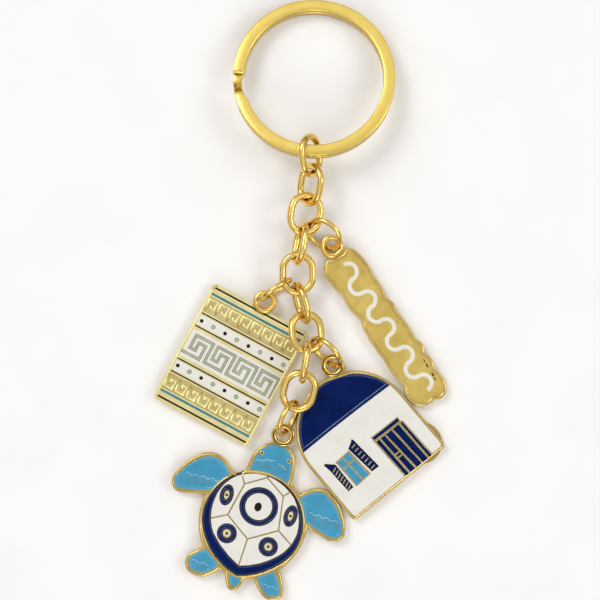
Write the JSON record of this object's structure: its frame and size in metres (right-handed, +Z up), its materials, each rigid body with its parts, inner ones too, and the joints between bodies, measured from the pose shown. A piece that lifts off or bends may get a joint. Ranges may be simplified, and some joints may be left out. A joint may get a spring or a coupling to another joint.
{
  "type": "keychain",
  "caption": "Souvenir keychain: split ring, oval link chain and flat enamelled gold charms (plate, patterned rectangle, house, turtle) on jump rings.",
  "frame": {"origin": "centre of the outline, on the table plane that the charms lie on", "axes": "+Y along the chain from the charms to the split ring, +Z up out of the table, charm faces upwards"},
  "size_m": [0.0542, 0.1112, 0.0096],
  "materials": {
    "polished_gold": "polished gold plating",
    "cast_gold": "satin gold plating",
    "white_enamel": "gloss",
    "navy_enamel": "gloss",
    "sky_enamel": "gloss",
    "black_enamel": "gloss",
    "teal_enamel": "gloss",
    "grey_enamel": "gloss"
  },
  "bodies": {
    "ring": {"split_ring": "polished_gold"},
    "link_1": {"link_1": "polished_gold"},
    "link_2": {"link_2": "polished_gold"},
    "link_3": {"link_3": "polished_gold"},
    "link_4": {"link_4": "polished_gold"},
    "link_5": {"link_5": "polished_gold"},
    "link_6": {"link_6": "polished_gold"},
    "link_7": {"link_7": "polished_gold"},
    "link_8": {"link_8": "polished_gold"},
    "link_9": {"link_9": "polished_gold"},
    "jump_ring_plate": {"jump_ring_plate": "polished_gold"},
    "jump_ring_meander": {"jump_ring_meander": "polished_gold"},
    "jump_ring_house": {"jump_ring_house": "polished_gold"},
    "jump_ring_turtle": {"jump_ring_turtle": "polished_gold"},
    "plate": {"plate_casting": "cast_gold", "plate_wave": "white_enamel"},
    "meander": {"meander_casting": "cast_gold", "meander_black": "black_enamel", "meander_teal": "teal_enamel", "meander_white": "white_enamel", "meander_grey": "grey_enamel"},
    "house": {"house_casting": "cast_gold", "house_dome": "navy_enamel", "house_wall": "white_enamel", "house_woodwork": "navy_enamel", "house_panes": "sky_enamel"},
    "turtle": {"turtle_casting": "cast_gold", "turtle_skin": "sky_enamel", "turtle_shell": "white_enamel", "turtle_navy": "navy_enamel", "turtle_pupils": "black_enamel"}
  },
  "joints": [
    {"name": "ring_to_link_1", "type": "hinge", "parent": "ring", "child": "link_1", "pos_m": [0.00243, 0.02707, 0.00657], "axis": [1, 0, 0], "range_deg": [-25, 45]},
    {"name": "link_1_to_2", "type": "hinge", "parent": "link_1", "child": "link_2", "pos_m": [0.00238, 0.0245, 0.00558], "axis": [0.5986, -0.3069, 0.7399], "range_deg": [-20, 20]},
    {"name": "link_2_to_3", "type": "hinge", "parent": "link_2", "child": "link_3", "pos_m": [0.00145, 0.01925, 0.00397], "axis": [0.9513, -0.1677, -0.2588], "range_deg": [-25, 25]},
    {"name": "link_3_to_4", "type": "hinge", "parent": "link_3", "child": "link_4", "pos_m": [0.00049, 0.01379, 0.00391], "axis": [0.2695, 0.038, 0.9623], "range_deg": [-25, 0]},
    {"name": "link_4_to_5", "type": "hinge", "parent": "link_4", "child": "link_5", "pos_m": [-0.00059, 0.00837, 0.00451], "axis": [-0.9962, -0.0076, 0.0868], "range_deg": [-15, 25]},
    {"name": "link_5_to_6", "type": "hinge", "parent": "link_5", "child": "link_6", "pos_m": [-0.00059, 0.0015, 0.00391], "axis": [0.9962, 0.0076, -0.0868], "range_deg": [-30, 0]},
    {"name": "link_6_to_7", "type": "hinge", "parent": "link_6", "child": "link_7", "pos_m": [0.00078, -0.00249, 0.00337], "axis": [-0.9272, -0.2718, 0.2578], "range_deg": [0, 30]},
    {"name": "link_7_to_8", "type": "hinge", "parent": "link_7", "child": "link_8", "pos_m": [0.00138, -0.00926, 0.00457], "axis": [-0.9848, 0.1736, 0], "range_deg": [0, 15]},
    {"name": "link_8_to_9", "type": "hinge", "parent": "link_8", "child": "link_9", "pos_m": [0.00053, -0.01338, 0.00504], "axis": [0.9659, -0.2588, 0], "range_deg": [-30, 0]},
    {"name": "link_3_to_plate_ring", "type": "hinge", "parent": "link_3", "child": "jump_ring_plate", "pos_m": [0.00276, 0.01341, 0.00335], "axis": [0.6428, 0.766, 0], "range_deg": [-45, 0]},
    {"name": "plate_swing", "type": "hinge", "parent": "jump_ring_plate", "child": "plate", "pos_m": [0.00425, 0.01216, 0.00318], "axis": [-0.4495, -0.6228, 0.6403], "range_deg": [0, 45]},
    {"name": "link_5_to_meander_ring", "type": "hinge", "parent": "link_5", "child": "jump_ring_meander", "pos_m": [-0.00307, 0.00306, 0.00427], "axis": [-0.5736, 0.8192, 0], "range_deg": [0, 25]},
    {"name": "meander_swing", "type": "hinge", "parent": "jump_ring_meander", "child": "meander", "pos_m": [-0.00462, 0.00198, 0.00376], "axis": [0.5529, -0.829, 0.0842], "range_deg": [-30, 0]},
    {"name": "link_7_to_house_ring", "type": "hinge", "parent": "link_7", "child": "jump_ring_house", "pos_m": [0.00345, -0.00802, 0.00379], "axis": [0.766, 0.6428, 0], "range_deg": [-12, 0]},
    {"name": "house_swing", "type": "hinge", "parent": "jump_ring_house", "child": "house", "pos_m": [0.00588, -0.01205, 0.00175], "axis": [0.9065, 0.4223, 0], "range_deg": [0, 30]},
    {"name": "link_9_to_turtle_ring", "type": "hinge", "parent": "link_9", "child": "jump_ring_turtle", "pos_m": [-0.00168, -0.0198, 0.00397], "axis": [-0.9397, 0.342, 0], "range_deg": [0, 40]},
    {"name": "turtle_swing", "type": "hinge", "parent": "jump_ring_turtle", "child": "turtle", "pos_m": [-0.00233, -0.02159, 0.00356], "axis": [0.8587, -0.3882, 0.3345], "range_deg": [-40, 0]}
  ]
}
